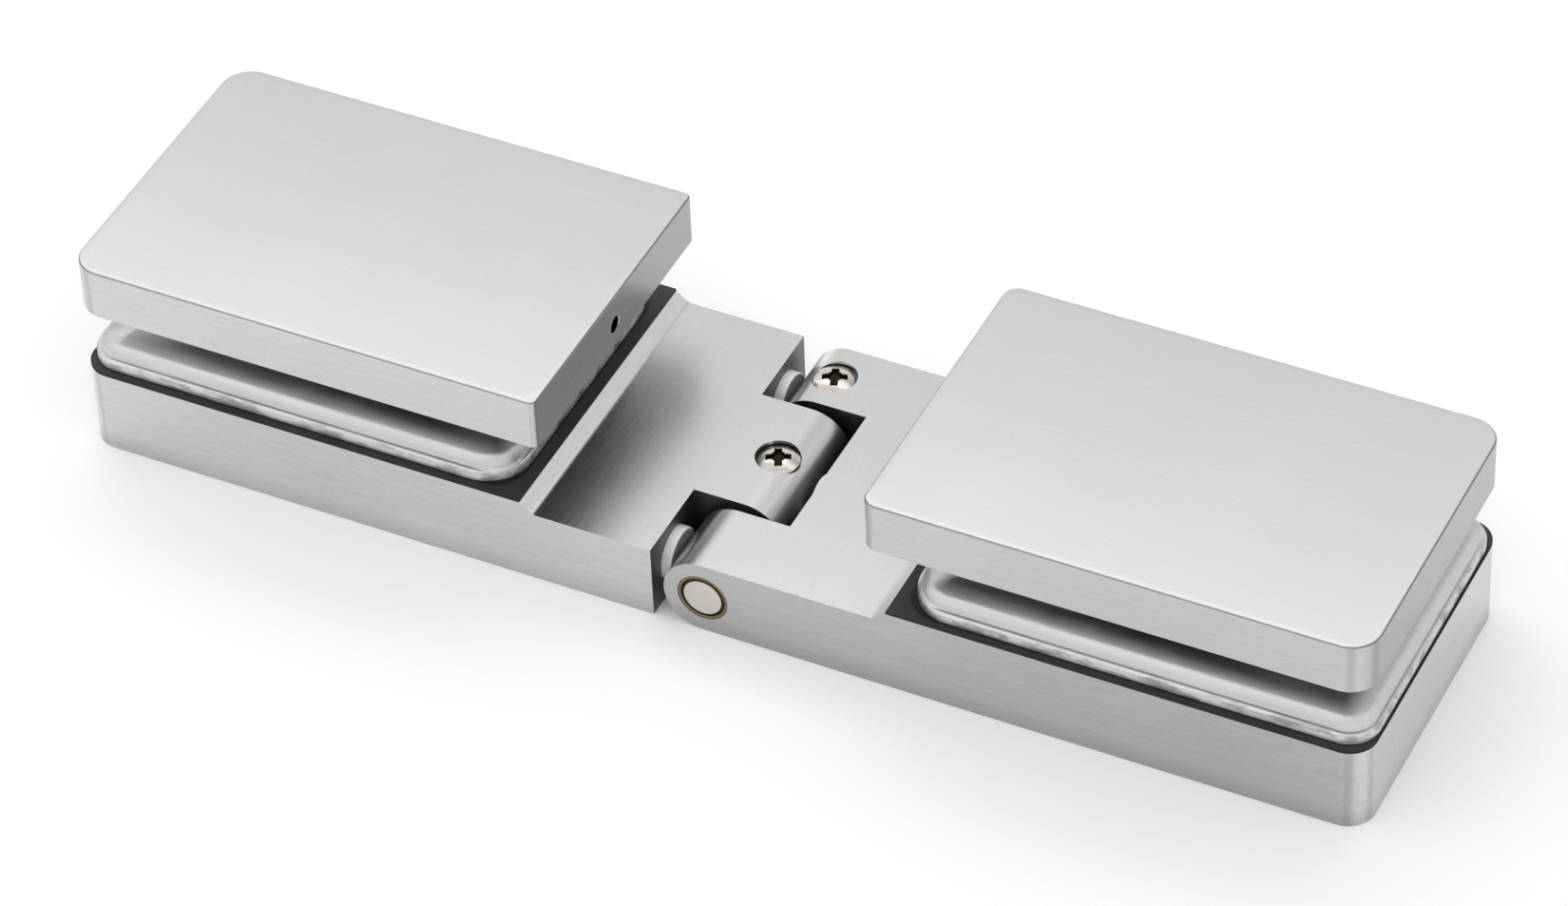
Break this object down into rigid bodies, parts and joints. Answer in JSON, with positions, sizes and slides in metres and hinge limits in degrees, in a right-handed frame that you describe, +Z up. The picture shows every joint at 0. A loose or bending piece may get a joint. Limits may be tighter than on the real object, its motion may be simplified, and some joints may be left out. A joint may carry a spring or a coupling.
{
  "type": "glass door hinge",
  "caption": "Glass-to-glass door hinge: two thick clamp leaves on one pin, with clamp pads, sprung plungers and plain brushed cover plates bolted over the glass.",
  "frame": {"origin": "on the floor plane under the pin axis, at the middle of the width, with both leaves flat", "axes": "+X along the hinge towards the leaf with two knuckles, +Y along the pin towards the back, +Z up towards the cover plates"},
  "size_m": [0.24, 0.06, 0.04],
  "materials": {
    "brushed_leaf": "satin, brushed along the hinge",
    "brushed_cover": "satin, brushed along the hinge",
    "cast_pad": "tumbled, semi-bright",
    "black_rubber": "matt",
    "bright_fastener": "nickel plated",
    "pin_steel": "ground end, pale",
    "bronze": "oiled bearing bronze",
    "plunger_grey": "light grey, satin",
    "white_nylon": "natural nylon",
    "spring_steel": "drawn wire"
  },
  "bodies": {
    "left_leaf": {"left_leaf": "brushed_leaf", "left_liner": "black_rubber", "left_clamp_pad": "cast_pad", "left_pad_gasket": "black_rubber", "left_cover_gasket": "black_rubber", "left_cover_plate": "brushed_cover", "left_clamp_bolts": "bright_fastener", "left_glass_sleeves": "white_nylon", "left_grub_screw": "bright_fastener", "hinge_pin": "pin_steel", "pin_lock_screw": "bright_fastener", "front_spring": "spring_steel", "back_spring": "spring_steel"},
    "right_leaf": {"right_leaf": "brushed_leaf", "right_liner": "black_rubber", "right_clamp_pad": "cast_pad", "right_pad_gasket": "black_rubber", "right_cover_gasket": "black_rubber", "right_cover_plate": "brushed_cover", "right_clamp_bolts": "bright_fastener", "right_glass_sleeves": "white_nylon", "right_grub_screw": "bright_fastener", "front_bush": "bronze", "back_bush": "bronze", "front_thrust_washer": "bronze", "back_thrust_washer": "bronze", "bush_lock_screw": "bright_fastener", "slot_spring": "spring_steel"},
    "front_plunger": {"front_plunger": "plunger_grey"},
    "back_plunger": {"back_plunger": "plunger_grey"},
    "slot_plunger": {"slot_plunger": "plunger_grey"}
  },
  "joints": [
    {"name": "leaf_swing", "type": "hinge", "parent": "left_leaf", "child": "right_leaf", "pos_m": [0, 0, 0.0073], "axis": [0, 1, 0], "range_deg": [-80, 90]},
    {"name": "front_plunger_travel", "type": "slide", "parent": "left_leaf", "child": "front_plunger", "axis": [-1, 0, 0], "range_m": [0, 0.0015], "stiffness_N_per_m": 4000, "springref_m": -0.002, "deforming": ["front_spring"]},
    {"name": "back_plunger_travel", "type": "slide", "parent": "left_leaf", "child": "back_plunger", "axis": [-1, 0, 0], "range_m": [0, 0.0015], "stiffness_N_per_m": 4000, "springref_m": -0.002, "deforming": ["back_spring"]},
    {"name": "slot_plunger_travel", "type": "slide", "parent": "right_leaf", "child": "slot_plunger", "axis": [1, 0, 0], "range_m": [0, 0.0015], "stiffness_N_per_m": 4000, "springref_m": -0.002, "deforming": ["slot_spring"]}
  ]
}
